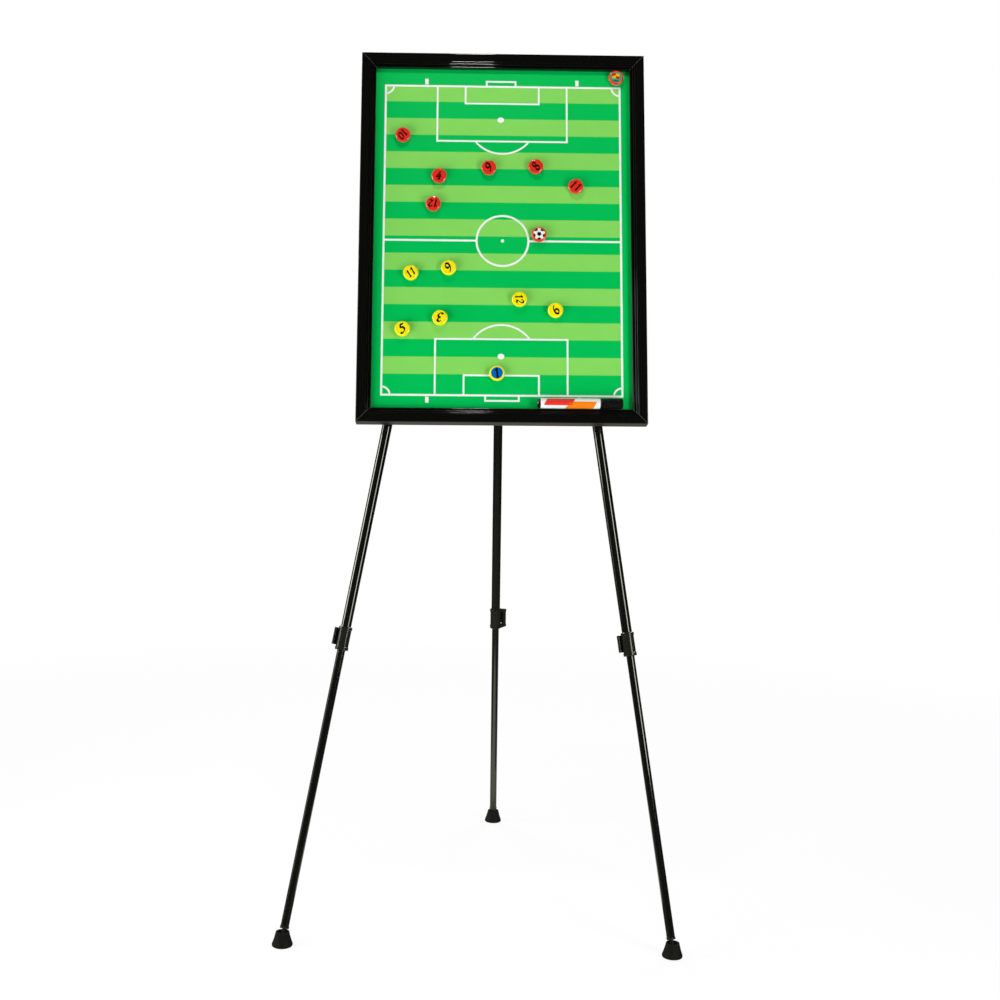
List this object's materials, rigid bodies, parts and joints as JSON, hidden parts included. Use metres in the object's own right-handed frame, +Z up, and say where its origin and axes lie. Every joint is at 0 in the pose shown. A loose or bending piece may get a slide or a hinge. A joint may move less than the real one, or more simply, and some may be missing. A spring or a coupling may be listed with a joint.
{
  "type": "football tactics board on tripod easel",
  "caption": "Magnetic football tactics board in a black frame, hung on a folding tripod easel with telescopic legs, flip-lock clamps, swivel feet, sliding magnets and a marker pen.",
  "frame": {"origin": "on the floor, in the middle of the box round the three feet", "axes": "+X to the viewer's right across the board, +Y away from the viewer, +Z up"},
  "size_m": [0.6082, 0.6398, 1.3665],
  "materials": {
    "frame_black": "gloss",
    "pitch_print": "satin",
    "fibreboard": "matte",
    "back_board": "satin",
    "zinc_steel": "satin",
    "rubber_black": "matte",
    "crown_plastic": "satin",
    "clamp_plastic": "satin",
    "stud_plastic": "satin",
    "rivet_steel": "satin",
    "tube_black": "gloss",
    "pen_white": "gloss",
    "pen_black": "gloss",
    "pen_felt": "matte",
    "magnet_red": "gloss",
    "magnet_yellow": "gloss"
  },
  "bodies": {
    "crown": {"crown": "crown_plastic", "hinge_pins": "rivet_steel"},
    "board": {"frame_top_rail": "frame_black", "frame_bottom_rail": "frame_black", "frame_left_stile": "frame_black", "frame_right_stile": "frame_black", "pitch_sheet": "pitch_print", "board_core": "fibreboard", "back_sheet": "back_board", "panel_clips": "zinc_steel", "board_fasteners": "zinc_steel", "hanger_bracket": "zinc_steel", "back_bumpers": "rubber_black"},
    "pen": {"pen_barrel": "pen_white", "pen_tail_plug": "pen_black", "pen_nib": "pen_felt"},
    "pen_cap": {"pen_cap": "pen_black"},
    "left_upper_leg": {"left_knuckle": "crown_plastic", "left_upper_tube": "tube_black", "left_clamp_collar": "clamp_plastic", "left_lever_pin": "rivet_steel"},
    "left_lever": {"left_clamp_lever": "clamp_plastic"},
    "left_lower_leg": {"left_lower_tube": "tube_black", "left_glide_bush": "crown_plastic", "left_ball_stud": "stud_plastic"},
    "left_foot": {"left_foot": "rubber_black"},
    "right_upper_leg": {"right_knuckle": "crown_plastic", "right_upper_tube": "tube_black", "right_clamp_collar": "clamp_plastic", "right_lever_pin": "rivet_steel"},
    "right_lever": {"right_clamp_lever": "clamp_plastic"},
    "right_lower_leg": {"right_lower_tube": "tube_black", "right_glide_bush": "crown_plastic", "right_ball_stud": "stud_plastic"},
    "right_foot": {"right_foot": "rubber_black"},
    "rear_upper_leg": {"rear_knuckle": "crown_plastic", "rear_upper_tube": "tube_black", "rear_clamp_collar": "clamp_plastic", "rear_lever_pin": "rivet_steel"},
    "rear_lever": {"rear_clamp_lever": "clamp_plastic"},
    "rear_lower_leg": {"rear_lower_tube": "tube_black", "rear_glide_bush": "crown_plastic", "rear_ball_stud": "stud_plastic"},
    "rear_foot": {"rear_foot": "rubber_black"},
    "magnet_red_10": {"magnet_red_10": "magnet_red"},
    "magnet_red_4": {"magnet_red_4": "magnet_red"},
    "magnet_red_9": {"magnet_red_9": "magnet_red"},
    "magnet_red_8": {"magnet_red_8": "magnet_red"},
    "magnet_red_11": {"magnet_red_11": "magnet_red"},
    "magnet_red_12": {"magnet_red_12": "magnet_red"},
    "magnet_yellow_11": {"magnet_yellow_11": "magnet_yellow"},
    "magnet_yellow_9": {"magnet_yellow_9": "magnet_yellow"},
    "magnet_yellow_12": {"magnet_yellow_12": "magnet_yellow"},
    "magnet_yellow_6": {"magnet_yellow_6": "magnet_yellow"},
    "magnet_yellow_3": {"magnet_yellow_3": "magnet_yellow"},
    "magnet_yellow_5": {"magnet_yellow_5": "magnet_yellow"},
    "magnet_keeper": {"magnet_keeper": "magnet_yellow"},
    "magnet_ball": {"magnet_ball": "magnet_red"},
    "magnet_flag": {"magnet_flag": "magnet_red"}
  },
  "joints": [
    {"name": "left_leg_fold", "type": "hinge", "parent": "crown", "child": "left_upper_leg", "pos_m": [-0.07959, 0.00726, 1.31091], "axis": [0, -0.9724, 0.2334], "range_deg": [0, 10.5]},
    {"name": "left_leg_slide", "type": "slide", "parent": "left_upper_leg", "child": "left_lower_leg", "axis": [0.1547, 0.2306, 0.9607], "range_m": [-0.04, 0.4]},
    {"name": "left_lever_flip", "type": "hinge", "parent": "left_upper_leg", "child": "left_lever", "pos_m": [-0.22168, -0.18625, 0.43871], "axis": [-0.1547, -0.2306, -0.9607], "range_deg": [0, 110]},
    {"name": "left_foot_swivel", "type": "hinge", "parent": "left_lower_leg", "child": "left_foot", "pos_m": [-0.28878, -0.30458, 0.012], "axis": [0, 1, 0], "range_deg": [-15, 15]},
    {"name": "right_leg_fold", "type": "hinge", "parent": "crown", "child": "right_upper_leg", "pos_m": [0.06935, 0.00823, 1.31496], "axis": [0, 0.9724, -0.2334], "range_deg": [-2.8, 7.7]},
    {"name": "right_leg_slide", "type": "slide", "parent": "right_upper_leg", "child": "right_lower_leg", "axis": [-0.1616, 0.2304, 0.9596], "range_m": [-0.04, 0.41]},
    {"name": "right_lever_flip", "type": "hinge", "parent": "right_upper_leg", "child": "right_lever", "pos_m": [0.21338, -0.18521, 0.44306], "axis": [0.1616, -0.2304, -0.9596], "range_deg": [0, 110]},
    {"name": "right_foot_swivel", "type": "hinge", "parent": "right_lower_leg", "child": "right_foot", "pos_m": [0.28878, -0.30458, 0.012], "axis": [0, 1, 0], "range_deg": [-15, 15]},
    {"name": "rear_leg_fold", "type": "hinge", "parent": "crown", "child": "rear_upper_leg", "pos_m": [-0.00459, 0.021, 1.29022], "axis": [-0.9996, -0.0065, -0.0272], "range_deg": [0, 26]},
    {"name": "rear_leg_slide", "type": "slide", "parent": "rear_upper_leg", "child": "rear_lower_leg", "axis": [-0.0251, -0.2165, 0.976], "range_m": [-0.04, 0.36]},
    {"name": "rear_lever_flip", "type": "hinge", "parent": "rear_upper_leg", "child": "rear_lever", "pos_m": [0.0337, 0.21695, 0.40789], "axis": [0.0251, 0.2165, -0.976], "range_deg": [0, 110]},
    {"name": "rear_foot_swivel", "type": "hinge", "parent": "rear_lower_leg", "child": "rear_foot", "pos_m": [0.02828, 0.30458, 0.012], "axis": [1, 0, 0], "range_deg": [-15, 15]},
    {"name": "board_lift", "type": "slide", "parent": "crown", "child": "board", "axis": [-0.0279, 0.2334, 0.972], "range_m": [0, 0.06]},
    {"name": "pen_lift", "type": "slide", "parent": "board", "child": "pen", "axis": [0, -0.9724, 0.2334], "range_m": [0, 0.05]},
    {"name": "pen_cap_pull", "type": "slide", "parent": "pen", "child": "pen_cap", "axis": [0.9996, 0.0065, 0.0272], "range_m": [0, 0.014]},
    {"name": "magnet_red_10_slide", "type": "slide", "parent": "board", "child": "magnet_red_10", "axis": [-0.0279, 0.2334, 0.972], "range_m": [-0.1, 0.099]},
    {"name": "magnet_red_4_slide", "type": "slide", "parent": "board", "child": "magnet_red_4", "axis": [-0.0279, 0.2334, 0.972], "range_m": [-0.01, 0.1]},
    {"name": "magnet_red_9_slide", "type": "slide", "parent": "board", "child": "magnet_red_9", "axis": [-0.0279, 0.2334, 0.972], "range_m": [-0.1, 0.1]},
    {"name": "magnet_red_8_slide", "type": "slide", "parent": "board", "child": "magnet_red_8", "axis": [-0.0279, 0.2334, 0.972], "range_m": [-0.043, 0.1]},
    {"name": "magnet_red_11_slide", "type": "slide", "parent": "board", "child": "magnet_red_11", "axis": [-0.0279, 0.2334, 0.972], "range_m": [-0.1, 0.1]},
    {"name": "magnet_red_12_slide", "type": "slide", "parent": "board", "child": "magnet_red_12", "axis": [-0.0279, 0.2334, 0.972], "range_m": [-0.039, 0.01]},
    {"name": "magnet_yellow_11_slide", "type": "slide", "parent": "board", "child": "magnet_yellow_11", "axis": [-0.0279, 0.2334, 0.972], "range_m": [-0.032, 0.1]},
    {"name": "magnet_yellow_9_slide", "type": "slide", "parent": "board", "child": "magnet_yellow_9", "axis": [-0.0279, 0.2334, 0.972], "range_m": [-0.027, 0.039]},
    {"name": "magnet_yellow_12_slide", "type": "slide", "parent": "board", "child": "magnet_yellow_12", "axis": [-0.0279, 0.2334, 0.972], "range_m": [-0.1, 0.1]},
    {"name": "magnet_yellow_6_slide", "type": "slide", "parent": "board", "child": "magnet_yellow_6", "axis": [-0.0279, 0.2334, 0.972], "range_m": [-0.1, 0.1]},
    {"name": "magnet_yellow_3_slide", "type": "slide", "parent": "board", "child": "magnet_yellow_3", "axis": [-0.0279, 0.2334, 0.972], "range_m": [-0.1, 0.027]},
    {"name": "magnet_yellow_5_slide", "type": "slide", "parent": "board", "child": "magnet_yellow_5", "axis": [-0.0279, 0.2334, 0.972], "range_m": [-0.1, 0.032]},
    {"name": "magnet_keeper_slide", "type": "slide", "parent": "board", "child": "magnet_keeper", "axis": [-0.0279, 0.2334, 0.972], "range_m": [-0.043, 0.1]},
    {"name": "magnet_ball_slide", "type": "slide", "parent": "board", "child": "magnet_ball", "axis": [-0.0279, 0.2334, 0.972], "range_m": [-0.1, 0.043]},
    {"name": "magnet_flag_slide", "type": "slide", "parent": "board", "child": "magnet_flag", "axis": [-0.0279, 0.2334, 0.972], "range_m": [-0.1, 0]}
  ]
}
